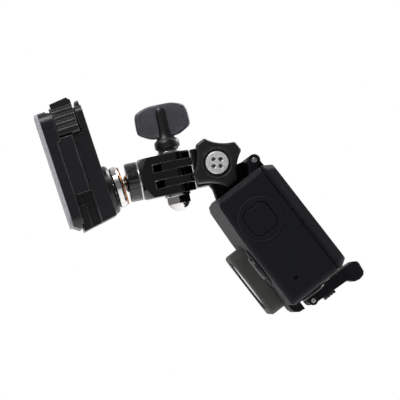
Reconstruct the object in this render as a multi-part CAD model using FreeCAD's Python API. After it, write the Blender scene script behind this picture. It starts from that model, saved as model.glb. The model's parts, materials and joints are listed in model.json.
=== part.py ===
import FreeCAD, Part

import math
import os

os.makedirs("parts", exist_ok=True)

# Action camera in a protective housing, hung upside down from a quick-release mount by a ball
# joint and a two-axis arm. All sizes are millimetres.
#
# Row frame: the origin is the centre of the adhesive pad's outer face. +X points away from the
# surface that the pad sticks to, +Z is the way the buckle slides out of its base, and -Y is the
# side of the star knob.

Vec = FreeCAD.Vector
AXES = {"x": Vec(1, 0, 0), "y": Vec(0, 1, 0), "z": Vec(0, 0, 1)}

# ---------------------------------------------------------------- driving dimensions
PAD_THICK = 1.0
BASE_HALF = 18.0  # half width of pad and base, along Y
BASE_LOW, BASE_HIGH = -22.0, 22.5
FLOOR = 4.2  # X of the channel floor
RIM = 5.0  # X of the rim along the base's long sides
RAIL_FACE = 11.5  # X of the rails' outer face
RAIL_HALF = 11.0  # half length of the rails, along Z
RAIL_OUT, RAIL_IN, LIP_IN = 17.5, 14.0, 11.5
LIP_FACE = 8.3
SLIDE_GAP = 0.3

HEAD_HALF = 15.0
HEAD_FACE = 17.8
SPINE_HALF = 6.4
PRONG_PIVOT = (10.0, -15.0)  # Y and Z
PRONG_PIN_R = 0.9
PIN_GAP = 0.06

BALL = Vec(28.7, 0, -12.7)
BALL_R = 4.6
SOCKET_R = 4.68
STUD_R = 3.0
NECK_R = 2.3
BOSS_R, BOSS_FACE = 9.4, 20.2
RING_R = 8.0

ARM_DROP = 6.2  # degrees that the arm points below +X
PAN = 14.9  # from the ball's centre to the pan bolt
TILT = 30.9  # from the ball's centre to the tilt bolt
FINGER = 3.1  # finger thickness and pitch half
FINGER_R = 7.5
THIN = 2.9  # thickness of the fingers that go between others
BOLT_R = 2.5
BORE_R = 2.56
STACK = 7.75  # half of five fingers side by side

HOUSING_TURN = 70.5  # degrees that the housing's up direction points below +X
FOOT = 0.5  # how far the housing's frame lies above the tilt bolt
HALF_W = 33.0
FRONT, RIM_Y, REAR = 11.4, -10.4, -15.1
LOW, TOP = 10.6, 58.8
WALL_SIDE, WALL_END, WALL_FRONT = 2.8, 2.3, 2.6
LENS_X, LENS_Z = -15.0, 44.0
PORT_HALF, PORT_FACE = 12.85, 17.4
PORT_LOW, PORT_TOP = 30.6, 58.4
HINGE = (-11.5, 7.3)  # Y and Z of the door's hinge
HINGE_R, HINGE_PIN_R = 2.3, 1.0
LATCH = (2.6, 62.8)  # Y and Z of the latch's pin
LATCH_PIN_R = 0.9

CAM_HALF = 29.5
CAM_BACK, CAM_SPLIT, CAM_FRONT = -10.0, -4.0, 8.2
CAM_LOW, CAM_TOP = 14.0, 55.5
CAM_WALL = 1.6

SHUTTER = (20.0, 1.5)  # X and Y on the top
MODE = (18.0, 40.0)  # X and Z on the front
SIDE = (1.1, 25.8)  # Y and Z on the side


# ---------------------------------------------------------------- shape helpers
def spot(axis, depth, a, b):
    """A point from its depth along an axis and its two other coordinates, in X, Y, Z order."""
    if axis == "x":
        return Vec(depth, a, b)
    if axis == "y":
        return Vec(a, depth, b)
    return Vec(a, b, depth)


def block(x, y, z):
    """A box from three (low, high) pairs."""
    return Part.makeBox(x[1] - x[0], y[1] - y[0], z[1] - z[0], Vec(x[0], y[0], z[0]))


def both(half, inner=0.0):
    """The (low, high) pairs on the two sides of zero."""
    return [(-half, -inner), (inner, half)]


def rod(radius, axis, a, b, low, high):
    """A cylinder along an axis, centred on the two other coordinates a and b."""
    return Part.makeCylinder(radius, high - low, spot(axis, low, a, b), AXES[axis])


def tube(outer, inner, axis, a, b, low, high):
    return rod(outer, axis, a, b, low, high).cut(rod(inner, axis, a, b, low - 1, high + 1))


def prism(points, axis, low, high):
    """A closed outline pushed along an axis."""
    spots = [spot(axis, low, a, b) for a, b in points]
    face = Part.Face(Part.makePolygon(spots + spots[:1]))
    return face.extrude(AXES[axis] * (high - low))


def turned(profile, axis):
    """A solid of revolution from (radius, place along the axis) pairs."""
    start = spot(axis, 0, 0, 0)
    corners = []
    for radius, place in profile:
        corners.append(spot(axis, place, radius, 0))
    face = Part.Face(Part.makePolygon(corners + corners[:1]))
    return face.revolve(start, AXES[axis], 360)


def ball(radius, centre=Vec(0, 0, 0)):
    return Part.makeSphere(radius, centre)


def hexagon(flats, axis, a, b, low, high):
    radius = flats / math.sqrt(3)
    corners = []
    for k in range(6):
        turn = math.radians(60 * k + 30)
        corners.append((a + radius * math.cos(turn), b + radius * math.sin(turn)))
    return prism(corners, axis, low, high)


def edges_along(shape, axis, wanted):
    """The straight edges along an axis whose middle passes the wanted test."""
    found = []
    for edge in shape.Edges:
        if edge.Curve.TypeId != "Part::GeomLine":
            continue
        along = abs(edge.Curve.Direction.dot(AXES[axis])) > 0.999
        if along and wanted(edge.CenterOfMass):
            found.append(edge)
    return found


def softened(shape, radius, axis, wanted=lambda p: True):
    return shape.makeFillet(radius, edges_along(shape, axis, wanted))


def bevelled(shape, size, axis, wanted=lambda p: True):
    return shape.makeChamfer(size, edges_along(shape, axis, wanted))


def slab(axis, low, high, a, b, radius):
    """A plate with rounded corners: a and b are (low, high) pairs of the two other axes."""
    pairs = {"x": ((low, high), a, b), "y": (a, (low, high), b), "z": (a, b, (low, high))}
    return softened(block(*pairs[axis]), radius, axis)


def fused(first, *others):
    return first.multiFuse(list(others)).removeSplitter()


def mirrored(shape, normal):
    return shape.mirror(Vec(0, 0, 0), normal)


def frame(origin, x, y, z):
    """The placement that carries local axes to the row frame."""
    rows = [x.x, y.x, z.x, origin.x, x.y, y.y, z.y, origin.y, x.z, y.z, z.z, origin.z, 0, 0, 0, 1]
    return FreeCAD.Placement(FreeCAD.Matrix(*rows))


ROW = FreeCAD.Placement()

drop = math.radians(ARM_DROP)
ARM_X = Vec(math.cos(drop), 0, -math.sin(drop))
ARM_Z = Vec(math.sin(drop), 0, math.cos(drop))
ARM = frame(BALL, ARM_X, AXES["y"], ARM_Z)  # x runs from the ball to the bolts, z up the pan bolt

turn = math.radians(HOUSING_TURN)
CAM_Z = Vec(math.cos(turn), 0, -math.sin(turn))
CAM_Y = Vec(-math.sin(turn), 0, -math.cos(turn))
PIVOT = BALL + ARM_X * TILT
HOUSING = frame(PIVOT + CAM_Z * FOOT, Vec(0, -1, 0), CAM_Y, CAM_Z)  # y is the lens's way, z the camera's up

STUD = frame(Vec(0, 0, BALL.z), AXES["x"], AXES["y"], AXES["z"])

nodes = {}


def keep(name, shape, placement):
    """Files a finished piece under its node's name, placed in the row frame."""
    piece = shape.copy()
    piece.Placement = placement.multiply(piece.Placement)
    nodes[name] = piece


# ---------------------------------------------------------------- base
def adhesive_pad():
    return slab("x", 0.0, PAD_THICK, (-BASE_HALF, BASE_HALF), (BASE_LOW, BASE_HIGH), 5.0)


def base_plate():
    """A plate with a rim, and two rails whose lips hold the buckle's flange."""
    outline = [(PAD_THICK, BASE_LOW), (3.4, BASE_LOW - 1.8), (FLOOR, BASE_LOW - 1.2), (FLOOR, BASE_HIGH)]
    plate = prism(outline + [(PAD_THICK, BASE_HIGH)], "y", -BASE_HALF, BASE_HALF)
    body = plate
    for side in (-1, 1):
        rim = block((FLOOR - 1, RIM), sorted((side * 15.6, side * BASE_HALF)), (BASE_LOW, BASE_HIGH))
        brow = [(FLOOR - 1, BASE_HIGH), (5.7, BASE_HIGH), (6.2, BASE_HIGH - 0.8)]
        brow = brow + [(6.2, 10.0), (FLOOR - 1, 10.0)]
        ends = sorted((side * 16.0, side * BASE_HALF))
        wall_y = sorted((side * RAIL_IN, side * RAIL_OUT))
        lip_y = sorted((side * LIP_IN, side * RAIL_OUT))
        wall = block((FLOOR - 1, RAIL_FACE), wall_y, (-RAIL_HALF, RAIL_HALF))
        lip = block((LIP_FACE, RAIL_FACE), lip_y, (-RAIL_HALF, RAIL_HALF))
        rail = bevelled(
            fused(wall, lip), 0.7, "z", lambda p: p.x > RAIL_FACE - 0.1 and abs(p.y) > RAIL_IN
        )
        body = fused(body, rim, prism(brow, "y", *ends), rail)
    trim = slab("x", 0, 12, (-BASE_HALF, BASE_HALF), (BASE_LOW - 1.9, BASE_HIGH), 5.0)
    return body.common(trim)


# ---------------------------------------------------------------- buckle
def buckle_body():
    """The sliding buckle: flange, web and head in one T section, with the swivel boss."""
    base_z = BASE_LOW - 3.0
    head_low = RAIL_FACE + SLIDE_GAP
    web_half = LIP_IN - SLIDE_GAP
    flange = block((FLOOR + SLIDE_GAP, LIP_FACE - SLIDE_GAP), (-13.7, 13.7), (base_z, -12.0))
    web = block((LIP_FACE - SLIDE_GAP, head_low), (-web_half, web_half), (base_z, 10.8))
    web_gap = block((LIP_FACE - 0.35, LIP_FACE - 0.1), (-web_half, web_half), (-12.0, 10.9))
    spine = block((FLOOR + SLIDE_GAP, head_low), (-SPINE_HALF, SPINE_HALF), (-12.0, 13.0))
    cheek = block((FLOOR + SLIDE_GAP, head_low), (-8.0, 8.0), (-12.0, -4.0))
    head = block((head_low, HEAD_FACE), (-HEAD_HALF, HEAD_HALF), (base_z, 10.9))
    neck = block((head_low, HEAD_FACE), (-7.0, 7.0), (10.0, 21.0))
    front = block((15.2, HEAD_FACE), (-HEAD_HALF, HEAD_HALF), (10.0, 21.0))
    front = softened(front, 3.0, "x", lambda p: p.z > 20)
    brow = slab("x", 16.0, 17.4, (-12.0, 12.0), (20.0, 22.8), 1.2)
    boss = rod(BOSS_R, "x", 0, BALL.z, head_low, BOSS_FACE)
    boss = boss.makeChamfer(0.9, [e for e in boss.Edges if e.CenterOfMass.x > BOSS_FACE - 0.01])
    body = fused(flange, web.cut(web_gap), spine, cheek, head, neck, front, brow, boss)
    slope = [(0, base_z - 5), (0, base_z), (FLOOR, base_z), (BOSS_FACE, base_z + 2.6), (30, base_z - 5)]
    body = body.cut(prism(slope, "y", -20, 20))
    body = body.cut(rod(STUD_R + PIN_GAP, "x", 0, BALL.z, 0, 30))
    body = body.cut(rod(6.2, "x", 0, BALL.z, 0, 10.4))
    for side in (-1, 1):
        y, z = side * PRONG_PIVOT[0], PRONG_PIVOT[1]
        pocket = rod(2.3, "x", y, z, 0, LIP_FACE - 0.1)
        slot = block((0, LIP_FACE - 0.1), sorted((side * 8.2, side * 14.0)), (z, -11.9))
        pin = rod(PRONG_PIN_R, "x", y, z, FLOOR + 0.5, LIP_FACE + 0.5)
        body = fused(body.cut(pocket).cut(slot), pin)
    return body


def release_prong():
    """The springy arm on the +Y side, with its finger tab. It turns on a stub of the body."""
    y, z = PRONG_PIVOT
    low, high = FLOOR + 0.4, LIP_FACE - 0.4
    eye = rod(1.9, "x", y, z, low, high)
    bar = block((low, high), (9.7, 12.3), (z, 16.0))
    bridge = block((low, high), (9.7, 15.3), (RAIL_HALF + 0.4, 16.0))
    outline = [(6.5, RAIL_HALF + 0.4), (14.5, RAIL_HALF + 0.4), (14.5, 23.7), (13.2, 25.0), (6.5, 24.3)]
    tab = prism(outline, "y", 11.6, 17.2)
    tab = bevelled(tab, 0.8, "x", lambda p: p.y > 17)
    for k in range(4):
        groove = rod(0.7, "x", 17.5, 14.6 + 2.3 * k, 6, 15)
        tab = tab.cut(groove)
    body = fused(eye, bar, bridge, tab)
    return body.cut(rod(PRONG_PIN_R + PIN_GAP, "x", y, z, 0, 12))


# ---------------------------------------------------------------- swivel and ball
def ball_stud():
    shank = turned([(0, 5.0), (STUD_R - 0.4, 5.0), (STUD_R, 5.5), (STUD_R, 24.4), (0, 24.4)], "x")
    neck = rod(NECK_R, "x", 0, 0, 24.0, BALL.x)
    return fused(shank, neck, ball(BALL_R, Vec(BALL.x, 0, 0)))


def stud_nut():
    return hexagon(8.0, "x", 0, 0, 6.2, 10.2).cut(rod(STUD_R + 0.03, "x", 0, 0, 0, 20))


def swivel_ring():
    """The bright ring between the boss and the ball, with a waist and rounded rims."""
    low, high = BOSS_FACE + 0.2, 23.5
    rim = 0.7
    profile = [(STUD_R, low), (RING_R - rim, low), (RING_R, low + rim), (RING_R, high - rim)]
    return turned(profile + [(RING_R - rim, high), (STUD_R, high)], "x")


def friction_washer():
    return tube(7.3, STUD_R + 0.03, "x", 0, 0, 23.5, 24.1)


def lock_collar():
    """The collar that clamps the ball, with finger flutes. Its origin is the ball's centre."""
    low, step, high = -2.95, -0.75, 1.5
    collar = turned([(0, low), (7.0, low), (7.4, low + 0.4), (7.4, high), (0, high)], "x")
    collar = collar.cut(ball(SOCKET_R)).cut(rod(5.96, "x", 0, 0, step, high + 1))
    for k in range(18):
        a = math.radians(20 * k)
        collar = collar.cut(rod(0.5, "x", 7.75 * math.cos(a), 7.75 * math.sin(a), low + 0.9, high + 1))
    return collar


def clamp_washer():
    return tube(7.4, 5.95, "x", 0, 0, 1.6, 2.2)


# ---------------------------------------------------------------- arm and link
def arm():
    """The socket end and three fingers about the pan bolt."""
    start = 2.2
    body = block((start, PAN), (-FINGER_R, FINGER_R), (-STACK, STACK))
    sleeve = turned([(0, start), (7.3, start), (10.4, 5.4), (11.5, 7.0), (11.5, PAN), (0, PAN)], "x")
    body = fused(body.common(sleeve), rod(FINGER_R, "z", PAN, 0, -STACK, STACK))
    for z in (-FINGER, FINGER):
        body = body.cut(block((PAN - FINGER_R - 0.1, 30), (-9, 9), (z - FINGER / 2, z + FINGER / 2)))
    body = fused(body, rod(5.9, "x", 0, 0, -0.6, start + 0.2))
    body = body.cut(ball(SOCKET_R))
    return body.cut(rod(BORE_R, "z", PAN, 0, -20, 20))


def acorn_nut():
    """The domed nut under the arm, on the pan bolt's axis."""
    top = -STACK - 0.05
    flange = rod(5.0, "z", PAN, 0, top - 0.9, top)
    flats = hexagon(8.6, "z", PAN, 0, top - 3.8, top)
    dome = ball(4.25, Vec(PAN, 0, top - 2.3)).common(rod(4.25, "z", PAN, 0, top - 7, top - 2.3))
    return fused(flange, flats, dome).cut(rod(BORE_R, "z", PAN, 0, top - 5.2, top + 1))


def pan_washer():
    return tube(4.5, BORE_R, "z", PAN, 0, STACK + 0.05, STACK + 0.85)


def pan_bolt():
    return rod(BOLT_R, "z", PAN, 0, -STACK - 4.6, STACK + 12.0)


def paddle_outline():
    """Half outline of the thumb plate as (from the axis, up the bolt) pairs, mirrored by the caller."""
    return [(3.0, 13.8), (5.4, 14.4), (9.5, 16.6), (10.4, 18.0), (10.0, 23.7), (9.0, 25.1), (4.0, 26.9)]


def pan_knob():
    """A thumb plate with two hollowed wings on a stem and collar."""
    low = STACK + 0.9
    profile = [(0, low), (3.8, low), (4.0, 9.4), (4.8, 10.2), (4.8, 12.4), (4.2, 13.4), (3.2, 14.0)]
    stem = turned(profile + [(3.2, 15.4), (3.6, 17.2), (3.6, 24.2), (2.5, 26.2), (0, 26.8)], "z")
    half = paddle_outline()
    outline = half + [(-a, b) for a, b in reversed(half)]
    plate = prism(outline, "y", -2.7, 2.7)
    plate = softened(plate, 0.7, "y", lambda p: p.z > 14)
    for side in (-1, 1):
        for face in (-1, 1):
            hollow = rod(16.0, "z", side * 6.6, face * (16.0 + 1.9), 0, 40)
            plate = plate.cut(hollow)
    knob = fused(plate, stem)
    knob.translate(Vec(PAN, 0, 0))
    return knob.cut(rod(BOLT_R, "z", PAN, 0, 0, STACK + 12.0))


def link():
    """Two fingers about the pan bolt and three about the tilt bolt, square to each other."""
    near, far = PAN + 7.65, TILT - 7.45
    web = block((near, far), (-STACK, STACK), (-7.3, 7.3))
    web = softened(web, 1.0, "x")
    pieces = []
    for z in (-FINGER, FINGER):
        low, high = z - THIN / 2, z + THIN / 2
        pieces.append(rod(7.3, "z", PAN, 0, low, high))
        pieces.append(block((PAN, far), (-7.3, 7.3), (low, high)))
    for y in (-2 * FINGER, 0, 2 * FINGER):
        low, high = y - FINGER / 2, y + FINGER / 2
        pieces.append(rod(7.3, "y", TILT, 0, low, high))
        pieces.append(block((near, TILT), (low, high), (-7.3, 7.3)))
    body = fused(web, *pieces)
    body = body.cut(rod(BORE_R, "z", PAN, 0, -20, 20))
    return body.cut(rod(BORE_R, "y", TILT, 0, -20, 20))


def tilt_nut():
    low = STACK + 0.05
    nut = fused(hexagon(8.0, "y", TILT, 0, low, low + 4.0), rod(3.7, "y", TILT, 0, low + 3.5, low + 5.0))
    return nut.cut(rod(BORE_R, "y", TILT, 0, 0, 20))


def tilt_washer():
    return tube(5.2, BORE_R, "y", TILT, 0, -STACK - 0.85, -STACK - 0.05)


KNOB_FACE = -19.0  # Y of the star knob's outer face
LOBE_R, LOBE_HALF, WAIST_R = 10.3, 2.0, 7.5
LOBE_ANGLE = 20.5 + ARM_DROP  # of the first lobe, from the arm's x towards its z


def tilt_bolt():
    return rod(BOLT_R, "y", TILT, 0, KNOB_FACE + 2.5, STACK + 4.4)


def star_outline():
    """Four flat-ended lobes with hollow sides, as one closed wire of lines and arcs."""
    edges = []
    reach = math.hypot(LOBE_R, LOBE_HALF)
    spread = math.atan2(LOBE_HALF, LOBE_R)

    def corner(radius, angle):
        return Vec(TILT + radius * math.cos(angle), 0, radius * math.sin(angle))

    for k in range(4):
        here = math.radians(LOBE_ANGLE + 90 * k)
        after = here + math.pi / 2
        edges.append(Part.LineSegment(corner(reach, here - spread), corner(reach, here + spread)).toShape())
        middle = corner(WAIST_R, (here + after) / 2)
        edges.append(Part.Arc(corner(reach, here + spread), middle, corner(reach, after - spread)).toShape())
    return Part.Wire(edges)


def tilt_knob():
    """The star knob: collar, star head and a recess for the cap."""
    face = Part.Face(star_outline())
    head = face.extrude(Vec(0, 8.0, 0))
    rim = [e for e in head.Edges if e.Curve.TypeId != "Part::GeomLine" and e.CenterOfMass.y < 0.1]
    head = head.makeFillet(0.8, rim)
    head.translate(Vec(0, KNOB_FACE, 0))
    collar = rod(5.4, "y", TILT, 0, KNOB_FACE + 7.5, -STACK - 0.9)
    knob = fused(head, collar)
    knob = knob.cut(rod(5.35, "y", TILT, 0, KNOB_FACE - 1, KNOB_FACE + 1.2))
    return knob.cut(rod(BOLT_R, "y", TILT, 0, KNOB_FACE + 2.5, 0))


def tilt_cap():
    """The bright disc in the star knob, with four small wrench dimples."""
    low, high = KNOB_FACE - 0.5, KNOB_FACE + 1.2
    cap = rod(4.35, "y", TILT, 0, low, high)
    cap = cap.makeChamfer(0.35, [e for e in cap.Edges if e.CenterOfMass.y < low + 0.01])
    for k in range(4):
        a = math.radians(LOBE_ANGLE - 45 + 90 * k)
        dimple = rod(0.6, "y", TILT + 1.75 * math.cos(a), 1.75 * math.sin(a), low - 1, low + 0.8)
        cap = cap.cut(dimple)
    return cap


# ---------------------------------------------------------------- plungers through the housing's walls
HEAD_GAP = 0.3
SEAT = 1.2  # depth of the spring's seat below the wall's outer face
STEM_R = 1.5
BOSS_RATIO = 1.6  # of the ring round a head to the head's own radius


def plunger_head(form, radius, low, high):
    """A round or a softly square pad about z."""
    if form == "round":
        return rod(radius, "z", 0, 0, low, high)
    return slab("z", low, high, (-radius, radius), (-radius, radius), 0.5 * radius)


def plunger_cut(form, radius, wall):
    """What a plunger takes out of a wall. z is outward from the wall's outer face."""
    seat = plunger_head(form, radius + HEAD_GAP, -SEAT, 5)
    return seat.fuse(rod(STEM_R + 0.08, "z", 0, 0, -wall - 1, 0))


def plunger_boss(form, radius, height):
    ring = rod(BOSS_RATIO * radius, "z", 0, 0, -0.4, height)
    return ring.cut(plunger_head(form, radius + HEAD_GAP, -1, height + 1))


def plunger(form, radius, wall, thick):
    head = plunger_head(form, radius, 0, thick)
    head = head.makeFillet(0.4, [e for e in head.Edges if e.CenterOfMass.z > thick - 0.01])
    return fused(head, rod(STEM_R, "z", 0, 0, -wall, 0.2))


def plunger_spring():
    """A short coil of square wire round the stem, from the seat to the head's underside."""
    half_wire, coil_r, turns = 0.18, 2.3, 1.75
    low, high = -SEAT + half_wire + 0.02, -half_wire - 0.02
    helix = Part.makeHelix((high - low) / turns, high - low, coil_r)
    helix.translate(Vec(0, 0, low))
    inner, outer = coil_r - half_wire, coil_r + half_wire
    under, over = low - half_wire, low + half_wire
    corners = [Vec(inner, 0, under), Vec(outer, 0, under), Vec(outer, 0, over), Vec(inner, 0, over)]
    section = Part.makePolygon(corners + corners[:1])
    return Part.Wire(helix).makePipeShell([section], True, True)


def on_top(place):
    return frame(Vec(place[0], place[1], TOP), Vec(1, 0, 0), Vec(0, 1, 0), Vec(0, 0, 1))


def on_front(place):
    return frame(Vec(place[0], FRONT, place[1]), Vec(1, 0, 0), Vec(0, 0, -1), Vec(0, 1, 0))


def on_side(place):
    return frame(Vec(HALF_W, place[0], place[1]), Vec(0, 1, 0), Vec(0, 0, 1), Vec(1, 0, 0))


# name, placement on the housing, head form, radius and thickness, boss height, wall thickness, and
# the gap between the wall and the camera
PLUNGERS = [
    ("shutter", on_top(SHUTTER), "round", 5.0, 1.6, 0.8, WALL_END, TOP - WALL_END - CAM_TOP),
    ("mode", on_front(MODE), "round", 5.0, 1.6, 0.8, WALL_FRONT, FRONT - WALL_FRONT - CAM_FRONT),
    ("side", on_side(SIDE), "square", 5.2, 0.7, 0.35, WALL_SIDE, HALF_W - WALL_SIDE - CAM_HALF),
]
BUTTON_GAP = 0.3
BUTTON_R = 2.2


def at(placement, shape):
    moved = shape.copy()
    moved.Placement = placement.multiply(moved.Placement)
    return moved


# ---------------------------------------------------------------- housing
def housing_box(low_y, high_y):
    """The housing's outer form between two Y planes, with rounded long edges."""
    box = block((-HALF_W, HALF_W), (low_y, high_y), (LOW, TOP))
    return softened(box, 2.6, "y")


def arc(centre, radius, start, stop, steps):
    """Points along an arc in a plane, its angles in degrees."""
    spots = []
    for k in range(steps + 1):
        a = math.radians(start + (stop - start) * k / steps)
        spots.append((centre[0] + radius * math.cos(a), centre[1] + radius * math.sin(a)))
    return spots


def housing_trim():
    """What rounds the box: the sloping lower front, the brow and the two upright front edges."""
    lean = [(FRONT + 1, LOW - 1), (FRONT - 4.0, LOW - 1), (FRONT - 3.6, LOW), (FRONT - 1.8, LOW + 0.8)]
    lean = lean + [(FRONT - 0.9, LOW + 3.0), (FRONT, 29.0), (FRONT + 1, 29.0)]
    brow = [(FRONT + 1, TOP + 1), (FRONT - 1.0, TOP + 1), (FRONT - 0.9, TOP), (FRONT, TOP - 0.9)]
    pieces = [prism(lean, "x", -40, 40), prism(brow + [(FRONT + 1, TOP - 1.0)], "x", -40, 40)]
    for side in (-1, 1):
        curve = arc((HALF_W - 2.4, FRONT - 2.4), 2.4, 0, 90, 5)
        outline = [(side * x, y) for x, y in curve + [(HALF_W - 2.4, 20), (40, 20), (40, FRONT - 2.4)]]
        pieces.append(prism(outline, "z", 0, 70))
    return pieces


def hinge_fillings():
    """The webs between the fingers, the hinge and the underside, clear of the door's knuckle."""
    y, z = HINGE
    pieces = []
    for x in both(20.0, 12.2):
        web = [(y + 1.5, z - 1.7), (y + 5.0, LOW + 0.2), (RIM_Y, LOW + 0.2), (y, z + HINGE_R - 0.05)]
        pieces.append(prism(web, "x", *x))
        pieces.append(rod(HINGE_R, "x", y, z, *x))
    saddle = [(-4.5, LOW + 0.2), (-6.4, 4.6), (-8.2, 5.0), (-9.2, 6.2), (-9.4, LOW + 0.2)]
    saddle = prism(saddle, "x", -19.0, 10.4)
    saddle = saddle.cut(rod(7.8, "x", 0, -FOOT, -30, 30))
    pieces.append(saddle.cut(rod(HINGE_R + 0.35, "x", y, z, -12.2, 12.2)))
    return pieces


def housing_shell():
    """The hollow front half: open at the back, with fingers, door knuckles and latch lugs."""
    body = housing_box(RIM_Y, FRONT)
    for piece in housing_trim():
        body = body.cut(piece)
    body = body.makeChamfer(0.5, [e for e in body.Edges if e.CenterOfMass.y < RIM_Y + 0.01])
    inner = block(
        (-HALF_W + WALL_SIDE, HALF_W - WALL_SIDE),
        (RIM_Y - 1, FRONT - WALL_FRONT),
        (LOW + WALL_END, TOP - WALL_END),
    )
    inner = softened(inner, 1.2, "y")
    ridge = [(6.9, TOP - 2.0), (6.9, 63.3), (9.4, 63.0), (10.8, 62.0), (11.3, 60.4), (11.3, TOP - 2.0)]
    extras = [prism(ridge, "x", -11.0, 11.0)]
    for x in both(11.0, 8.9):
        extras.append(block(x, (LATCH[0] - 1.8, LATCH[0] + 1.8), (TOP - 2.0, LATCH[1])))
        extras.append(rod(1.8, "x", LATCH[0], LATCH[1], *x))
    for x in (-FINGER, FINGER):
        low, high = x - THIN / 2, x + THIN / 2
        extras.append(rod(7.2, "x", 0, -FOOT, low, high))
        flare = [(-6.6, -FOOT), (-6.2, 6.5), (-7.6, LOW + 0.2), (7.6, LOW + 0.2), (6.2, 6.5), (6.6, -FOOT)]
        extras.append(prism(flare, "x", low, high))
    for name, placement, form, radius, thick, height, wall, gap in PLUNGERS:
        extras.append(at(placement, plunger_boss(form, radius, height)))
    body = fused(body.cut(inner), *extras, *hinge_fillings())
    body = body.cut(inner)
    for name, placement, form, radius, thick, height, wall, gap in PLUNGERS:
        body = body.cut(at(placement, plunger_cut(form, radius, wall)))
    body = body.cut(rod(10.6, "y", LENS_X, LENS_Z, 5, 20))
    body = body.cut(tube(12.3, 11.3, "y", LENS_X, LENS_Z, FRONT - 0.9, FRONT + 1))
    body = body.cut(rod(HINGE_PIN_R, "x", HINGE[0], HINGE[1], -30, 30))
    body = body.cut(rod(LATCH_PIN_R, "x", LATCH[0], LATCH[1], -30, 30))
    body = body.cut(rod(1.1, "x", 4.1, 51.0, HALF_W - 1.0, 40))
    return body.cut(rod(BORE_R, "x", 0, -FOOT, -20, 20))


def lens_port():
    """The square frame that holds the window in front of the lens."""
    x = (LENS_X - PORT_HALF, LENS_X + PORT_HALF)
    port = slab("y", FRONT, PORT_FACE, x, (PORT_LOW, PORT_TOP), 3.6)
    rim = [e for e in port.Edges if e.CenterOfMass.y > PORT_FACE - 0.01]
    port = port.makeChamfer(0.7, rim)
    port = port.cut(rod(10.6, "y", LENS_X, LENS_Z, 0, 30))
    port = port.cut(rod(11.5, "y", LENS_X, LENS_Z, PORT_FACE - 1.9, 30))
    for x, z in port_screw_places():
        port = port.cut(rod(1.25, "y", x, z, PORT_FACE - 1.2, 30)).cut(rod(0.8, "y", x, z, 14, 30))
    return port


def port_screw_places():
    reach = 10.3
    return [(LENS_X + a * reach, LENS_Z + b * reach) for a in (-1, 1) for b in (-1, 1)]


def lens_port_screws():
    """Four cross-head screws at the port's corners."""
    screws = []
    for x, z in port_screw_places():
        head = rod(1.2, "y", x, z, PORT_FACE - 1.15, PORT_FACE - 0.3)
        shank = rod(0.75, "y", x, z, 14.1, PORT_FACE - 1.1)
        cross = block((x - 0.8, x + 0.8), (PORT_FACE - 0.7, 20), (z - 0.15, z + 0.15))
        other = block((x - 0.15, x + 0.15), (PORT_FACE - 0.7, 20), (z - 0.8, z + 0.8))
        screws.append(head.fuse(shank).removeSplitter().cut(cross).cut(other))
    return Part.makeCompound(screws)


def door_form(low_y, high_y):
    """The door's outer form: square behind the seam, then drawn in all round towards its face."""
    seam = low_y + 3.3
    draw = 2.0
    wires = []
    for y, inset in ((seam, 0.0), (low_y, draw)):
        x = (-HALF_W + inset, HALF_W - inset)
        plate = slab("y", y - 1, y, x, (LOW + inset, TOP - inset), 2.6)
        face = max(plate.Faces, key=lambda f: f.CenterOfMass.y)
        wires.append(face.OuterWire)
    taper = Part.makeLoft(wires, True, True)
    return fused(housing_box(seam, high_y), taper)


def rear_door():
    """The door at the back, with a groove for its seal and a knuckle on the hinge."""
    y, z = HINGE
    face = RIM_Y - SLIDE_GAP
    door = door_form(REAR, face)
    door = door.makeChamfer(0.5, [e for e in door.Edges if e.CenterOfMass.y > face - 0.01])
    panel = slab("y", REAR - 1, REAR + 0.6, (-24.5, 24.5), (17.0, 53.0), 4.0)
    door = door.cut(panel)
    knuckle = rod(HINGE_R, "x", y, z, -11.8, 11.8)
    web = [(y, z + HINGE_R - 0.05), (y + 0.2, LOW + 0.4), (y - 0.2, LOW + 3.0), (y - 2.6, LOW + 3.0)]
    web = prism(web + [(y - HINGE_R + 0.05, z - 0.3)], "x", -11.8, 11.8)
    door = fused(door, knuckle, web).cut(seal_ring(face - 1.0, face + 1, 0.0))
    return door.cut(rod(HINGE_PIN_R + PIN_GAP, "x", y, z, -30, 30))


def seal_ring(low, high, slack):
    """The seal's path round the door, slack narrower than its groove on each side."""
    outer = slab("y", low, high, (-31.6 + slack, 31.6 - slack), (12.0 + slack, 57.4 - slack), 2.4)
    inner = slab("y", low - 1, high + 1, (-30.4 - slack, 30.4 + slack), (13.2 - slack, 56.2 + slack), 1.4)
    return outer.cut(inner)


def latch_lever():
    """The lever on the pin behind the top ridge, with the hook that reaches over the door."""
    y, z = LATCH
    under = [(y, 61.35), (-8.0, 60.75), (-13.6, 60.35), (-15.0, 60.2)]
    hook = [(-18.4, 60.4), (-19.7, 61.3), (-20.2, 63.0), (-19.8, 65.4), (-18.6, 66.9), (-16.6, 67.4)]
    over = [(-14.6, 67.0), (-13.4, 65.8), (-12.6, 64.9), (1.4, 64.3), (3.4, 63.6)]
    lever = prism(under + hook + over, "x", -8.6, 8.6)
    lever = fused(lever, rod(1.5, "x", y, z, -8.6, 8.6))
    slot = block((-1.6, 1.6), (-9.8, -1.2), (62.6, 70))
    for k in range(4):
        lever = lever.cut(rod(0.4, "x", -20.25 + 0.12 * k, 62.4 + 0.9 * k, -10, 10))
    return lever.cut(slot).cut(rod(LATCH_PIN_R + PIN_GAP, "x", y, z, -10, 10))


def latch_lock():
    """The small slider that locks the lever."""
    low = 64.85
    cap = slab("z", low, low + 1.1, (-3.4, 3.4), (-6.8, -1.8), 0.9)
    for k in range(3):
        cap = cap.cut(rod(0.35, "x", -5.6 + 1.3 * k, low + 1.2, -5, 5))
    return fused(cap, block((-1.5, 1.5), (-5.2, -3.4), (low - 2.0, low + 0.1)))


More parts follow.
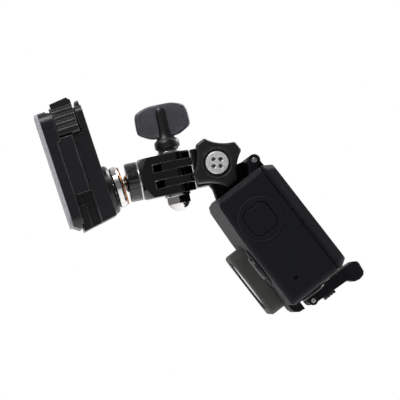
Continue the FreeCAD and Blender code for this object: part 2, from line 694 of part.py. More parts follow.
# ---------------------------------------------------------------- camera inside
def camera_form(low_y, high_y, inset):
    """The camera's outer form between two Y planes, drawn in by inset."""
    x = (-CAM_HALF + inset, CAM_HALF - inset)
    return slab("y", low_y, high_y, x, (CAM_LOW + inset, CAM_TOP - inset), 3.4 - inset)


BATTERY = ((-24.2, 9.0), (-3.0, 5.2), (15.7, 31.6))
DISPLAY = ((11.0, 27.0), (47.3, 53.3))
SCREEN = ((-20.0, 20.0), (21.0, 49.0))
SCREW_PLACES = [(x, z) for x in (-26.4, 26.4) for z in (17.2, 52.3)]


def camera_front_shell():
    body = camera_form(CAM_SPLIT, CAM_FRONT, 0)
    body = body.cut(camera_form(CAM_SPLIT - 1, CAM_FRONT - CAM_WALL, CAM_WALL))
    posts = [rod(1.9, "y", x, z, CAM_SPLIT, CAM_FRONT - 1) for x, z in SCREW_PLACES]
    body = fused(body, *posts)
    body = body.cut(rod(8.6, "y", LENS_X, LENS_Z, 0, 20))
    body = body.cut(block(DISPLAY[0], (0, 20), DISPLAY[1]))
    body = body.cut(block((-24.6, 9.4), (-3.4, 5.6), (CAM_LOW - 1, CAM_LOW + CAM_WALL + 0.1)))
    for x, z in SCREW_PLACES:
        body = body.cut(rod(0.8, "y", x, z, CAM_SPLIT - 1, 4.0))
    for name, placement, form, radius, thick, height, wall, gap in PLUNGERS:
        body = body.cut(at(placement, rod(BUTTON_R + 0.2, "z", 0, 0, -wall - gap - 3, -wall)))
    return body


def camera_rear_shell():
    body = camera_form(CAM_BACK, CAM_SPLIT - 0.02, 0)
    body = body.cut(camera_form(CAM_BACK + CAM_WALL, CAM_SPLIT + 1, CAM_WALL))
    posts = [rod(1.9, "y", x, z, CAM_BACK + 1, CAM_SPLIT - 0.02) for x, z in SCREW_PLACES]
    body = fused(body, *posts)
    body = body.cut(block(SCREEN[0], (-20, CAM_SPLIT - 1), SCREEN[1]))
    for x, z in SCREW_PLACES:
        body = body.cut(rod(0.8, "y", x, z, -20, 0)).cut(rod(1.4, "y", x, z, -20, CAM_BACK + 0.9))
    for k in range(5):
        body = body.cut(block((23.2, 27.2), (-20, 0), (22.0 + 1.6 * k, 22.8 + 1.6 * k)))
    return body


def camera_screws():
    screws = []
    for x, z in SCREW_PLACES:
        head = rod(1.3, "y", x, z, CAM_BACK + 0.15, CAM_BACK + 0.85)
        shank = rod(0.75, "y", x, z, CAM_BACK + 0.8, 3.8)
        slot = block((x - 1.0, x + 1.0), (-20, CAM_BACK + 0.45), (z - 0.15, z + 0.15))
        screws.append(head.fuse(shank).removeSplitter().cut(slot))
    return Part.makeCompound(screws)


def lens_barrel():
    """The barrel with a flange outside the camera's face and steps for the glass."""
    profile = [(5.0, -1.8), (8.5, -1.8), (8.5, 8.3), (9.8, 8.3), (9.8, 9.3), (9.0, 10.2), (9.0, 13.8)]
    profile = profile + [(8.3, 14.4), (7.7, 14.4), (7.7, 12.2), (6.6, 12.2), (6.6, 1.0), (5.0, 1.0)]
    return turned(profile, "y")


def lens_glass():
    """The front glass, domed outwards."""
    dome = ball(16.0, Vec(0, -2.2, 0)).common(rod(7.6, "y", 0, 0, 12.25, 14.0))
    return dome


def lens_elements():
    """Two inner lenses, curved on both sides."""
    elements = []
    for centre, bulge in ((9.4, 1.2), (4.6, 0.9)):
        radius = (6.5**2 + bulge**2) / (2 * bulge)
        first = ball(radius, Vec(0, centre - radius + bulge, 0))
        second = ball(radius, Vec(0, centre + radius - bulge, 0))
        element = first.common(second).common(rod(6.4, "y", 0, 0, -20, 20))
        elements.append(element)
    return Part.makeCompound(elements)


def sensor_board():
    plate = block((-9.2, 9.2), (-3.4, -2.4), (-9.2, 9.2))
    chip = block((-4.2, 4.2), (-2.5, -1.9), (-3.4, 3.4))
    return fused(plate, chip)


def main_board():
    """The circuit board with its chips and the cut-outs at the screw posts."""
    board = block((-27.4, 27.4), (-7.2, -6.2), (16.2, 53.3))
    chips = [((-20, -8), (19, 30)), ((-4, 8), (22, 34)), ((12, 22), (42, 50)), ((-24, -16), (42, 50))]
    parts = [block(x, (-6.3, -5.2), z) for x, z in chips]
    board = fused(board, *parts)
    for x, z in SCREW_PLACES:
        board = board.cut(rod(2.2, "y", x, z, -20, 0))
    return board


def battery_door():
    door = block((-24.4, 9.2), (-3.2, 5.4), (CAM_LOW, CAM_LOW + 1.5))
    groove = [block((3.0 + 1.2 * k, 3.5 + 1.2 * k), (-2.0, 4.2), (0, CAM_LOW + 0.4)) for k in range(4)]
    for cut in groove:
        door = door.cut(cut)
    return door


def camera_button(wall, gap):
    """A camera button, from under the camera's wall to just short of its plunger's tip."""
    return rod(BUTTON_R, "z", 0, 0, -wall - gap - 2.4, -wall - BUTTON_GAP)


# ---------------------------------------------------------------- the pieces
keep("adhesive_pad", adhesive_pad(), ROW)
keep("base_plate", base_plate(), ROW)
keep("buckle_body", buckle_body(), ROW)
keep("release_prong_left", release_prong(), ROW)
keep("release_prong_right", mirrored(release_prong(), AXES["y"]), ROW)

keep("ball_stud", ball_stud(), STUD)
keep("stud_nut", stud_nut(), STUD)
keep("swivel_ring", swivel_ring(), STUD)
keep("friction_washer", friction_washer(), STUD)
keep("lock_collar", lock_collar(), ARM)
keep("clamp_washer", clamp_washer(), ARM)

keep("arm", arm(), ARM)
keep("pan_nut", acorn_nut(), ARM)
keep("pan_washer", pan_washer(), ARM)
keep("pan_bolt", pan_bolt(), ARM)
keep("pan_knob", pan_knob(), ARM)
keep("link", link(), ARM)
keep("tilt_nut", tilt_nut(), ARM)
keep("tilt_washer", tilt_washer(), ARM)
keep("tilt_bolt", tilt_bolt(), ARM)
keep("tilt_knob", tilt_knob(), ARM)
keep("tilt_cap", tilt_cap(), ARM)

keep("housing_shell", housing_shell(), HOUSING)
keep("hinge_pin", rod(HINGE_PIN_R, "x", HINGE[0], HINGE[1], -20.4, 20.4), HOUSING)
keep("latch_pin", rod(LATCH_PIN_R, "x", LATCH[0], LATCH[1], -11.3, 11.3), HOUSING)
keep("lens_port", lens_port(), HOUSING)
port_glass = rod(11.4, "y", LENS_X, LENS_Z, PORT_FACE - 1.9, PORT_FACE - 0.4)
keep("lens_port_glass", port_glass, HOUSING)
keep("lens_port_seal", tube(12.2, 11.4, "y", LENS_X, LENS_Z, FRONT - 0.85, FRONT), HOUSING)
keep("lens_port_screws", lens_port_screws(), HOUSING)
keep("rear_door", rear_door(), HOUSING)
keep("door_seal", seal_ring(RIM_Y - SLIDE_GAP - 0.95, RIM_Y - 0.15, 0.05), HOUSING)
keep("latch_lever", latch_lever(), HOUSING)
keep("latch_lock", latch_lock(), HOUSING)

for name, placement, form, radius, thick, height, wall, gap in PLUNGERS:
    keep(name + "_plunger", at(placement, plunger(form, radius, wall, thick)), HOUSING)
    keep(name + "_spring", at(placement, plunger_spring()), HOUSING)
    keep("camera_" + name + "_button", at(placement, camera_button(wall, gap)), HOUSING)

keep("camera_front_shell", camera_front_shell(), HOUSING)
keep("camera_rear_shell", camera_rear_shell(), HOUSING)
keep("camera_screws", camera_screws(), HOUSING)
lens_place = frame(Vec(LENS_X, 0, LENS_Z), AXES["x"], AXES["y"], AXES["z"])
keep("lens_barrel", at(lens_place, lens_barrel()), HOUSING)
keep("lens_glass", at(lens_place, lens_glass()), HOUSING)
keep("lens_elements", at(lens_place, lens_elements()), HOUSING)
keep("image_sensor_board", at(lens_place, sensor_board()), HOUSING)
keep("main_board", main_board(), HOUSING)
keep("battery", softened(block(*BATTERY), 1.5, "x"), HOUSING)
keep("battery_door", battery_door(), HOUSING)
keep("memory_card", block((14.0, 25.0), (-4.6, -3.8), (24.0, 39.0)), HOUSING)
keep("rear_screen", block((-19.8, 19.8), (-9.8, -7.7), (21.2, 48.8)), HOUSING)
keep("front_display", block((11.2, 26.8), (5.6, 8.0), (47.5, 53.1)), HOUSING)
keep("sounder", rod(4.0, "y", 18.0, 21.0, -2.4, 3.0), HOUSING)

for name, shape in nodes.items():
    solids = shape.Solids
    sound = shape.isValid() and solids and all(s.Volume > 0 for s in solids)
    print(name, "solids", len(solids), "volume", round(shape.Volume, 1), "ok" if sound else "BAD")
    shape.exportStep("parts/" + name + ".step")
print(len(nodes), "nodes")
print("pivot", PIVOT, "ball", BALL, "pan axis", ARM_Z, "arm axis", ARM_X, "up", CAM_Z, "lens", CAM_Y)
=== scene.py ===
import json
import math

import bmesh
import bpy
from mathutils import Matrix, Vector


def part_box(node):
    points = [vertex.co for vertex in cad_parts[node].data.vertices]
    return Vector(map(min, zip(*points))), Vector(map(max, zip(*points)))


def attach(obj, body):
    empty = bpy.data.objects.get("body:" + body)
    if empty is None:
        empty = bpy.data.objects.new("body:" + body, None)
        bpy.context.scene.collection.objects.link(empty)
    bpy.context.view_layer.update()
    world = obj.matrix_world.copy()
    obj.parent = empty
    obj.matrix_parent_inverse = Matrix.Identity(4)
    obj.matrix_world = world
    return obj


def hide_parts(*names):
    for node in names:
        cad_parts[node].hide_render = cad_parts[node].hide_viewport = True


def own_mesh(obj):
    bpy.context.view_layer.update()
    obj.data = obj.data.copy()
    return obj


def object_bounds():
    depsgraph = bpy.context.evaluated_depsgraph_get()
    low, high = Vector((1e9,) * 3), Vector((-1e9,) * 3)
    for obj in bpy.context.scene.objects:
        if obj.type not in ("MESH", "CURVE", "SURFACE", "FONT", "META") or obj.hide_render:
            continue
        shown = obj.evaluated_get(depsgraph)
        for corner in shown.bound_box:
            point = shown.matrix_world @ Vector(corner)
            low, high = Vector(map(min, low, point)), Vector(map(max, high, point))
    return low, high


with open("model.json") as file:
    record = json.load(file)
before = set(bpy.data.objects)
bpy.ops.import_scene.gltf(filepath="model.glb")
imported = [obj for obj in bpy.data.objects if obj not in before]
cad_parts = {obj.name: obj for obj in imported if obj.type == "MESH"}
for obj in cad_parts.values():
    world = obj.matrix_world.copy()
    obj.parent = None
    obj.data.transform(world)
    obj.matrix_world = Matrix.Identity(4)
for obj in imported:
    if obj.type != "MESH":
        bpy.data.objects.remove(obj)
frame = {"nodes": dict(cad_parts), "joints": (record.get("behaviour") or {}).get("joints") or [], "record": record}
cad_low, cad_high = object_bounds()

# An action camera in its housing, hung from a quick-release mount. Everything is in metres in the
# row frame: +X away from the pad, +Z up along the buckle's slide, -Y the star knob's side.

MM = 0.001
NODES = frame["nodes"]
JOINTS = {joint["name"]: joint for joint in frame["joints"]}


def axis_of(joint):
    return Vector(JOINTS[joint]["axis"]).normalized()


def point_of(joint):
    return Vector(JOINTS[joint]["pos_m"])


# ---------------------------------------------------------------- frames taken from the joints
Y = Vector((0, 1, 0))
ARM_ALONG = axis_of("arm_roll")
ARM_UP = axis_of("link_pan")
PAN_POINT = point_of("link_pan")
TILT_POINT = point_of("housing_tilt")
CAMERA_UP = -axis_of("shutter_press")
CAMERA_LENS = -axis_of("mode_press")
CAMERA_SIDE = -axis_of("side_press")


def frame_matrix(origin, x, y, z):
    """The matrix that carries local axes, in millimetres, to the row frame."""
    turn = Matrix((x, y, z)).transposed().to_4x4()
    return Matrix.Translation(origin) @ turn @ Matrix.Scale(MM, 4)


AT_PAN = frame_matrix(PAN_POINT, ARM_ALONG, Y, ARM_UP)
AT_TILT = frame_matrix(TILT_POINT, ARM_ALONG, Y, ARM_UP)


# ---------------------------------------------------------------- material helpers
def node(tree, kind, inputs=None, **settings):
    """Adds a shader node; inputs are values or the sockets that feed them."""
    made = tree.nodes.new(kind)
    for key, value in settings.items():
        setattr(made, key, value)
    for key, value in (inputs or {}).items():
        if isinstance(value, bpy.types.NodeSocket):
            tree.links.new(value, made.inputs[key])
        else:
            made.inputs[key].default_value = value
    return made


def rgba(value, alpha=1.0):
    """A grey level or an (r, g, b) triple as a colour, from sRGB numbers out of 255."""
    triple = value if isinstance(value, tuple) else (value, value, value)
    linear = [(c / 255) ** 2.2 for c in triple]
    return (*linear, alpha)


def fresh(name):
    material = bpy.data.materials.new(name)
    material.use_nodes = True
    material.node_tree.nodes.clear()
    return material, material.node_tree


def noise(tree, place, size_mm, detail=3.0, stretch=None):
    """A noise whose grains are about size_mm across, drawn out along an axis by stretch."""
    vector = place
    if stretch:
        vector = node(tree, "ShaderNodeMapping", {"Vector": place, "Scale": stretch}).outputs["Vector"]
    scale = 1.0 / (size_mm * MM)
    made = node(tree, "ShaderNodeTexNoise", {"Vector": vector, "Scale": scale, "Detail": detail})
    return made.outputs["Fac"]


def ranged(tree, value, low, high, from_low=0.3, from_high=0.7):
    spread = {"Value": value, "From Min": from_low, "From Max": from_high, "To Min": low, "To Max": high}
    return node(tree, "ShaderNodeMapRange", spread).outputs["Result"]


def mixed(tree, factor, a, b):
    made = node(tree, "ShaderNodeMix", {"Factor": factor}, data_type="RGBA")
    for index, value in ((6, a), (7, b)):
        if isinstance(value, bpy.types.NodeSocket):
            tree.links.new(value, made.inputs[index])
        else:
            made.inputs[index].default_value = value
    return made.outputs[2]


def edge_mask(tree, radius_mm):
    """1 near sharp edges and 0 on open faces, from how far a rounded normal leans."""
    rounded = node(tree, "ShaderNodeBevel", {"Radius": radius_mm * MM}, samples=6)
    shape = node(tree, "ShaderNodeNewGeometry")
    lean = node(
        tree, "ShaderNodeVectorMath", {0: rounded.outputs["Normal"], 1: shape.outputs["True Normal"]},
        operation="DOT_PRODUCT",
    )
    return ranged(tree, lean.outputs["Value"], 1.0, 0.0, 0.78, 0.99)


def surface(
    name, color, rough, edge_wear_and_highlight=None, metallic=0.0, grain_mm=0.35, grain_depth_mm=0.012, edge_mm=0.35,
    spread=0.12, coat=0.0, brushed=None, rough_spread=0.35, specular=0.5,
):
    """An opaque finish: mottled colour, uneven roughness, fine grain, and rounded edges painted lighter, partly as
    real wear and partly as a painted highlight.
    """
    material, tree = fresh(name)
    place = node(tree, "ShaderNodeTexCoord").outputs["Object"]
    base = rgba(color)
    darker = tuple(c * (1 - spread) for c in base[:3]) + (1.0,)
    lighter = tuple(min(1.0, c * (1 + spread)) for c in base[:3]) + (1.0,)
    patches = ranged(tree, noise(tree, place, 9.0), 0.0, 1.0)
    paint = mixed(tree, patches, darker, lighter)
    scuffs = noise(tree, place, 1.3, detail=6.0)
    # Painted highlight: towards sharp edges the colour goes over to the lighter edge colour, partly real wear and
    # partly light caught along the edges.
    edge = edge_mask(tree, edge_mm)
    wear_and_highlight_mask = node(
        tree, "ShaderNodeMath", {0: edge, 1: ranged(tree, scuffs, 0.25, 1.0)}, operation="MULTIPLY"
    ).outputs["Value"]
    paint = mixed(tree, wear_and_highlight_mask, paint, rgba(edge_wear_and_highlight) if edge_wear_and_highlight is not None else lighter)
    grain = noise(tree, place, grain_mm, detail=2.0, stretch=brushed)
    rounded = node(tree, "ShaderNodeBevel", {"Radius": edge_mm * 0.7 * MM}, samples=6).outputs["Normal"]
    bump = node(
        tree, "ShaderNodeBump",
        {"Strength": 0.6, "Distance": grain_depth_mm * MM, "Height": grain, "Normal": rounded},
    )
    low, high = rough * (1 - rough_spread), min(1.0, rough * (1 + rough_spread))
    shine = ranged(tree, scuffs, low, high)
    principled = node(
        tree, "ShaderNodeBsdfPrincipled",
        {"Base Color": paint, "Roughness": shine, "Metallic": metallic, "Normal": bump.outputs["Normal"],
         "Coat Weight": coat, "Coat Roughness": 0.12, "Specular IOR Level": specular},
    )
    out = node(tree, "ShaderNodeOutputMaterial")
    tree.links.new(principled.outputs["BSDF"], out.inputs["Surface"])
    return material


def clear_glass(name, tint, rough=0.015):
    """Clear glass with faint smears in its polish."""
    material, tree = fresh(name)
    place = node(tree, "ShaderNodeTexCoord").outputs["Object"]
    smears = noise(tree, place, 4.0, detail=5.0)
    principled = node(
        tree, "ShaderNodeBsdfPrincipled",
        {"Base Color": rgba(tint), "Roughness": ranged(tree, smears, rough, rough * 4),
         "Transmission Weight": 1.0, "IOR": 1.5},
    )
    out = node(tree, "ShaderNodeOutputMaterial")
    tree.links.new(principled.outputs["BSDF"], out.inputs["Surface"])
    return material


# ---------------------------------------------------------------- materials, one per slot
# The lighter edge colours given below paint real wear and painted highlights along the edges together.
FINISHES = {
    "foam": surface(
        "foam", (150, 151, 157), 0.95, grain_mm=0.45, grain_depth_mm=0.12, edge_mm=0.2, spread=0.07,
    ),
    "mount_plastic": surface(
        "mount_plastic", (20, 20, 24), 0.32, edge_wear_and_highlight=(122, 121, 124), grain_depth_mm=0.01, spread=0.04,
        edge_mm=0.45, specular=0.45, rough_spread=0.12,
    ),
    "arm_plastic": surface(
        "arm_plastic", (9, 8, 10), 0.16, edge_wear_and_highlight=(112, 108, 116), grain_mm=0.6, edge_mm=0.35, coat=0.35,
        spread=0.06, specular=0.4,
    ),
    "chrome": surface(
        "chrome", (204, 202, 200), 0.14, metallic=1.0, grain_mm=0.8, grain_depth_mm=0.003, spread=0.03,
    ),
    "steel": surface("steel", (178, 178, 181), 0.26, metallic=1.0, brushed=(1, 1, 8), spread=0.08),
    "brass": surface("brass", (142, 98, 70), 0.3, metallic=1.0, spread=0.1),
    "satin_grey": surface(
        "satin_grey", (80, 78, 84), 0.4, edge_wear_and_highlight=(134, 132, 138), metallic=0.6, grain_mm=0.2, spread=0.06,
        edge_mm=0.45,
    ),
    "satin_silver": surface(
        "satin_silver", (222, 222, 222), 0.36, metallic=0.7, grain_mm=0.2, spread=0.04,
    ),
    "knob_plastic": surface(
        "knob_plastic", (21, 21, 23), 0.36, edge_wear_and_highlight=(150, 149, 154), edge_mm=0.45, spread=0.04,
        specular=0.4, rough_spread=0.15,
    ),
    "housing_plastic": surface(
        "housing_plastic", (18, 19, 24), 0.58, edge_wear_and_highlight=(58, 60, 66), grain_mm=0.3, grain_depth_mm=0.012,
        spread=0.04, edge_mm=0.4, specular=0.14, rough_spread=0.1,
    ),
    "port_plastic": surface(
        "port_plastic", (66, 67, 64), 0.6, edge_wear_and_highlight=(100, 100, 98), spread=0.08, specular=0.12,
        rough_spread=0.1,
    ),
    "clear_glass": clear_glass("clear_glass", (238, 243, 246)),
    "seal_rubber": surface("seal_rubber", (60, 60, 64), 0.7, grain_mm=0.5, spread=0.06),
    "camera_shell": surface("camera_shell", (108, 110, 114), 0.55, edge_wear_and_highlight=(140, 141, 144), spread=0.05),
    "camera_black": surface("camera_black", (17, 17, 19), 0.25, edge_wear_and_highlight=(52, 52, 56), coat=0.3),
    "circuit": surface("circuit", (18, 74, 46), 0.45, edge_wear_and_highlight=(60, 110, 80)),
    "battery_wrap": surface("battery_wrap", (48, 52, 60), 0.4, edge_wear_and_highlight=(80, 84, 92)),
    "screen_glass": surface(
        "screen_glass", (9, 9, 12), 0.22, grain_mm=2.0, grain_depth_mm=0.001, edge_mm=0.15, specular=0.2,
        rough_spread=0.05,
    ),
}



# ---------------------------------------------------------------- pieces that replace CAD nodes
def piece_from(name, bmesh_data, place, body, slot, replaced):
    """A smooth object from millimetre geometry in a joint's frame, standing for a CAD node."""
    bmesh.ops.recalc_face_normals(bmesh_data, faces=bmesh_data.faces)
    mesh = bpy.data.meshes.new(name)
    bmesh_data.to_mesh(mesh)
    bmesh_data.free()
    mesh.transform(place)
    piece = bpy.data.objects.new(name, mesh)
    bpy.context.scene.collection.objects.link(piece)
    mesh.materials.append(FINISHES[slot])
    mesh.shade_smooth()
    mesh.set_sharp_from_angle(angle=math.radians(40))
    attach(piece, body)
    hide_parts(replaced)
    return piece


def bridged(made, loops):
    """Quads between loops of equal vertex counts, and a face over each end."""
    count = len(loops[0])
    for a, b in zip(loops, loops[1:]):
        for k in range(count):
            made.faces.new((a[k], a[(k + 1) % count], b[(k + 1) % count], b[k]))
    made.faces.new(loops[0])
    made.faces.new(list(reversed(loops[-1])))


def skin(rings):
    """A closed surface through rings of equal point counts."""
    made = bmesh.new()
    bridged(made, [[made.verts.new(p) for p in ring] for ring in rings])
    return made


def circle(radius, steps):
    """Points (across, up) round a circle about the origin."""
    turns = [2 * math.pi * k / steps for k in range(steps)]
    return [(radius * math.cos(a), radius * math.sin(a)) for a in turns]


def turned_mesh(profile, steps=64):
    """A lathe form about z from (radius, z) pairs, closed at both ends."""
    return skin([[(x, y, z) for x, y in circle(radius, steps)] for radius, z in profile])


for part in frame["record"]["subparts"]:
    mesh = NODES[part["node"]].data
    mesh.materials.clear()
    mesh.materials.append(FINISHES[part["material_slot"]])
    mesh.shade_smooth()
    mesh.set_sharp_from_angle(angle=math.radians(28))


PADDLE_HALF = [
    (0, 13.9), (3.2, 14.0), (5.6, 14.4), (8.6, 15.9), (10.0, 17.0), (10.35, 18.6), (10.25, 22.2),
    (9.9, 24.0), (8.8, 25.3), (4.8, 26.7), (0, 26.9),
]
PADDLE_MIDDLE = 20.6
PADDLE_EDGE, PADDLE_RIB = 1.35, 2.0  # half thickness of the wings and of the swell between them
SWELL_REACH = 2.5
RIM_RISE, RIM_START, RIM_SPAN = 0.3, 0.7, 0.2  # the raised rim, as shares of the way to the outline
ROUND_START, ROUND_SPAN = 0.9, 0.1  # where the edge rounds off
PADDLE_INSETS = [0.04, 0.2, 0.4, 0.6, 0.75, 0.84, 0.9, 0.94, 0.97, 0.99, 1.0]


def smooth_loop(points, steps):
    """Points along a closed curve that passes smoothly through the given ones."""
    count = len(points)
    curve = []
    for k in range(count):
        a, b, c, d = (Vector(points[(k + n) % count]) for n in (-1, 0, 1, 2))
        for step in range(steps):
            t = step / steps
            bend = (2 * a - 5 * b + 4 * c - d) * t + (3 * b - a - 3 * c + d) * t * t + (c - a)
            curve.append(b + 0.5 * t * bend)
    return curve


def paddle():
    """The thumb plate: two hollowed wings with a soft rim, and a rib down the middle."""
    half = [Vector((x, z)) for x, z in PADDLE_HALF]
    mirror = [Vector((-p.x, p.y)) for p in reversed(half[1:-1])]
    outline = smooth_loop(half + mirror, 6)
    middle = Vector((0, PADDLE_MIDDLE))
    sides = [(s, 1) for s in PADDLE_INSETS] + [(s, -1) for s in reversed(PADDLE_INSETS[:-1])]
    rings = []
    for inset, side in sides:
        ring = []
        for p in outline:
            q = middle + (p - middle) * inset
            swell = math.exp(-((q.x / SWELL_REACH) ** 2))
            rise = PADDLE_EDGE + (PADDLE_RIB - PADDLE_EDGE) * swell
            rise += RIM_RISE * max(0.0, min(1.0, (inset - RIM_START) / RIM_SPAN))
            edge = max(0.0, inset - ROUND_START) / ROUND_SPAN
            round_off = math.sqrt(max(0.0, 1 - edge**2))
            ring.append((q.x, side * rise * round_off, q.y))
        rings.append(ring)
    return skin(rings)


STEM = [
    (3.7, 8.7), (3.95, 8.9), (3.95, 9.5), (4.7, 10.1), (4.8, 10.5), (4.8, 12.2), (4.55, 12.8),
    (3.5, 13.6), (3.2, 14.2), (2.9, 15.4), (2.65, 17.0), (2.6, 23.6), (2.35, 25.2), (1.6, 26.2), (0.3, 26.6),
]

LOBE_R, LOBE_HALF, WAIST_R = 10.25, 2.0, 7.5
LOBE_TURN = 26.7  # degrees from the arm's line to a lobe
STAR_STEPS = 180
KNOB_DEPTH = 8.0
RECESS_R, RECESS_DEPTH = 5.3, 2.0  # the recess that the cap sits in
STAR_BACK = [(0, 1.0), (0, 0.7), (-0.1, 0.3), (-0.4, 0.05), (-0.8, 0.0)]  # depth and inset of the rims
STAR_FRONT = [(1.0, 0.0), (0.6, 0.08), (0.28, 0.3), (0.08, 0.62), (0, 1.0)]
RECESS = [
    (0.05, RECESS_R + 0.5), (0.12, RECESS_R + 0.2), (0.35, RECESS_R + 0.03), (RECESS_DEPTH, RECESS_R),
    (RECESS_DEPTH, 2.6),
]


def star_radius(angle):
    """How far the star's outline is from its axis, angle being in degrees from a lobe."""
    turn = math.radians(abs((angle + 45) % 90 - 45))
    if turn < math.atan2(LOBE_HALF, LOBE_R):
        return LOBE_R / math.cos(turn)
    reach = (LOBE_R * LOBE_R + LOBE_HALF * LOBE_HALF - WAIST_R * WAIST_R) / 2
    centre = reach / ((LOBE_R + LOBE_HALF) * math.sqrt(0.5) - WAIST_R)
    off = math.radians(45) - turn
    return centre * math.cos(off) - math.sqrt((centre - WAIST_R) ** 2 - (centre * math.sin(off)) ** 2)


def star_ring(y, inset, round_radius=None):
    """A ring of the star's outline, drawn in by inset, or a circle on the same angles."""
    ring = []
    for k in range(STAR_STEPS):
        degrees = 360 * k / STAR_STEPS
        near = [star_radius(degrees + d) for d in (-3, -1.5, 0, 1.5, 3)]
        radius = round_radius if round_radius else sum(near) / len(near) - inset
        a = math.radians(degrees + LOBE_TURN)
        ring.append((radius * math.cos(a), y, radius * math.sin(a)))
    return ring


def star_knob():
    """The star head with its rounded rims, the recess for the cap, and the collar behind it."""
    low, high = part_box("tilt_knob")
    front, collar = low.y / MM, high.y / MM
    back = front + KNOB_DEPTH
    rings = [star_ring(collar, 0, 4.9), star_ring(collar, 0, 5.2), star_ring(collar - 0.3, 0, 5.35)]
    rings.append(star_ring(back + 0.3, 0, 5.35))
    rings.append(star_ring(back, 0, 5.6))
    for y, inset in STAR_BACK:
        rings.append(star_ring(back + y, inset))
    for y, inset in STAR_FRONT:
        rings.append(star_ring(front + y, inset))
    for y, radius in RECESS:
        rings.append(star_ring(front + y, 0, radius))
    return skin(rings)


CAP_OUT, CAP_DEPTH = 4.3, 2.4
SOCKET_OUT, SOCKET_R, SOCKET_DEPTH = 1.85, 0.95, 0.75
SOCKET_TURN = LOBE_TURN + 7  # degrees from the arm's line to a socket
SOCKETS = []
for quarter in range(4):
    socket_angle = math.radians(SOCKET_TURN + 90 * quarter)
    SOCKETS.append((SOCKET_OUT * math.cos(socket_angle), SOCKET_OUT * math.sin(socket_angle)))
SHADE_DISC_PROFILE = [(0.3, 0.6), (0.08, 0.6), (0, 0.5)]  # depth and radius of a dark disc of painted shade
SHADE_DISC_RISE = 0.15  # how far it stands up from the socket's bottom


def cap_disc(front):
    """The bright disc: a softened rim and four round sockets sunk into its face."""
    rings = [star_ring(front + CAP_DEPTH, 0, CAP_OUT), star_ring(front + 0.35, 0, CAP_OUT)]
    rings.append(star_ring(front + 0.1, 0, CAP_OUT - 0.1))
    radius = CAP_OUT - 0.32
    while radius > 0.1:
        ring = []
        for x, y, z in star_ring(front, 0, radius):
            gap = min(math.hypot(x - a, z - b) for a, b in SOCKETS) / SOCKET_R
            sunk = SOCKET_DEPTH * max(0.0, min(1.0, (1 - gap) / 0.25))
            ring.append((x, y + sunk, z))
        rings.append(ring)
        radius -= 0.1
    return skin(rings)


def socket_shade_discs(front):
    """Dark discs in the disc's four sockets: painted shade, darker than the shallow sockets' own shading."""
    made = bmesh.new()
    for x, z in SOCKETS:
        loops = []
        for depth, radius in SHADE_DISC_PROFILE:
            y = front + SOCKET_DEPTH - SHADE_DISC_RISE + depth
            loops.append([made.verts.new((x + a, y, z + b)) for a, b in circle(radius, 20)])
        bridged(made, loops)
    return made


CAP_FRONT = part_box("tilt_cap")[0].y / MM
COIL_R, WIRE_R, COIL_TURNS, COIL_STEPS = 2.3, 0.17, 1.75, 84
COIL_HALF = 0.3  # half the height of the wire's middle line


def coil():
    """A short coil of round wire about z."""
    rings = []
    for step in range(COIL_STEPS + 1):
        t = step / COIL_STEPS
        a = 2 * math.pi * COIL_TURNS * t
        ring = []
        for out, up in circle(WIRE_R, 10):
            height = COIL_HALF * (2 * t - 1) + up
            ring.append(((COIL_R + out) * math.cos(a), (COIL_R + out) * math.sin(a), height))
        rings.append(ring)
    return skin(rings)


def add_spring(name, out, across):
    """The coil under a plunger's head, built at rest; it does not flatten as the plunger goes in."""
    points = [v.co for v in NODES[name + "_spring"].data.vertices]
    centre = Vector((0, 0, 0))
    for axis in (out, across, out.cross(across)):
        spans = [p.dot(axis) for p in points]
        centre += axis * (min(spans) + max(spans)) / 2
    place = frame_matrix(centre, across, out.cross(across), out)
    piece = piece_from(name + "_coil", coil(), place, "housing", "steel", name + "_spring")
    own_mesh(piece)


add_spring("shutter", CAMERA_UP, CAMERA_LENS)
add_spring("mode", CAMERA_LENS, CAMERA_UP)
add_spring("side", CAMERA_SIDE, CAMERA_UP)
piece_from("cap_disc", cap_disc(CAP_FRONT), AT_TILT, "tilt_screw", "satin_silver", "tilt_cap")
# Painted shade: black discs at the sockets' bottoms stand in for the shade of deeper holes.
piece_from(
    "cap_socket_painted_shade", socket_shade_discs(CAP_FRONT), AT_TILT, "tilt_screw", "knob_plastic", "tilt_cap",
)
piece_from("thumb_paddle", paddle(), AT_PAN, "pan_screw", "satin_grey", "pan_knob")
piece_from("thumb_stem", turned_mesh(STEM), AT_PAN, "pan_screw", "knob_plastic", "pan_knob")
piece_from("star_knob", star_knob(), AT_TILT, "tilt_screw", "knob_plastic", "tilt_knob")


# ---------------------------------------------------------------- stage, light and camera
PICTURE_TURN = math.radians(18.35)  # the row frame's tilt in the picture
UP = Vector((math.sin(PICTURE_TURN), 0, math.cos(PICTURE_TURN)))
VIEW_AZIMUTH, VIEW_ELEVATION = math.radians(-3.0), math.radians(-2.0)
VIEW_DISTANCE = 1.25
FRAME_WIDTH = 0.152
SENSOR = 36.0
FLOOR_R, FLOOR_HEIGHT = 1.6, -0.3


middle = (cad_low + cad_high) / 2


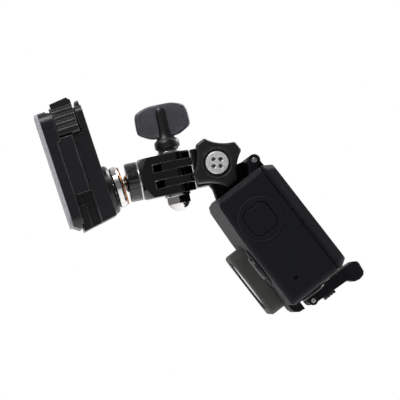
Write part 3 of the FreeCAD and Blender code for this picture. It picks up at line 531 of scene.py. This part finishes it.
def add_camera():
    """A long lens, square to the object's side but for a few degrees, turned with the picture."""
    forward = Matrix.Rotation(VIEW_AZIMUTH, 3, UP) @ Y
    side = forward.cross(UP).normalized()
    forward = Matrix.Rotation(-VIEW_ELEVATION, 3, side) @ forward
    top = side.cross(forward)
    lens = bpy.data.cameras.new("camera")
    lens.sensor_width = SENSOR
    lens.lens = SENSOR * VIEW_DISTANCE / FRAME_WIDTH
    lens.clip_start = 0.01
    camera = bpy.data.objects.new("camera", lens)
    turn = Matrix((side, top, -forward)).transposed()
    camera.matrix_world = Matrix.Translation(middle - forward * VIEW_DISTANCE) @ turn.to_4x4()
    bpy.context.scene.collection.objects.link(camera)
    bpy.context.scene.camera = camera


def add_light(name, place, target, size, power, color=(1, 1, 1)):
    lamp = bpy.data.lights.new(name, "AREA")
    lamp.shape = "RECTANGLE"
    lamp.size, lamp.size_y = size
    lamp.energy = power
    lamp.color = color
    light = bpy.data.objects.new(name, lamp)
    light.location = place
    light.rotation_euler = (Vector(target) - Vector(place)).to_track_quat("-Z", "Y").to_euler()
    bpy.context.scene.collection.objects.link(light)


def add_world():
    """A white studio: brightest behind the object, softer on the viewer's side."""
    world = bpy.data.worlds.new("studio")
    bpy.context.scene.world = world
    world.use_nodes = True
    tree = world.node_tree
    tree.nodes.clear()
    place = node(tree, "ShaderNodeTexCoord").outputs["Generated"]
    depth = node(tree, "ShaderNodeSeparateXYZ", {"Vector": place}).outputs["Y"]
    glow = ranged(tree, depth, 0.22, 0.85, -0.3, 0.75)
    seen = node(tree, "ShaderNodeLightPath").outputs["Is Camera Ray"]
    glow = node(tree, "ShaderNodeMath", {0: glow, 1: seen}, operation="MAXIMUM").outputs["Value"]
    sky = node(tree, "ShaderNodeBackground", {"Color": (1, 1, 1, 1), "Strength": glow})
    out = node(tree, "ShaderNodeOutputWorld")
    tree.links.new(sky.outputs["Background"], out.inputs["Surface"])


def add_floor():
    """A plain pale floor well under the object."""
    bpy.ops.mesh.primitive_circle_add(
        vertices=64, radius=FLOOR_R, fill_type="NGON", location=(0.05, 0, FLOOR_HEIGHT),
    )
    floor = bpy.context.object
    floor.name = "floor"
    floor.data.materials.append(surface("floor_paint", 244, 0.7, spread=0.02, edge_mm=0.1))


add_world()
add_floor()
add_light("key", (-0.2, -0.55, 0.85), middle, (0.5, 0.5), 10)
add_light("rim", (0.7, 0.35, 0.35), middle, (0.4, 0.7), 12)
add_light("left_strip", (-0.7, -0.15, -0.15), middle, (0.25, 0.7), 1.2)
add_camera()
bpy.context.scene.view_settings.view_transform = "Standard"
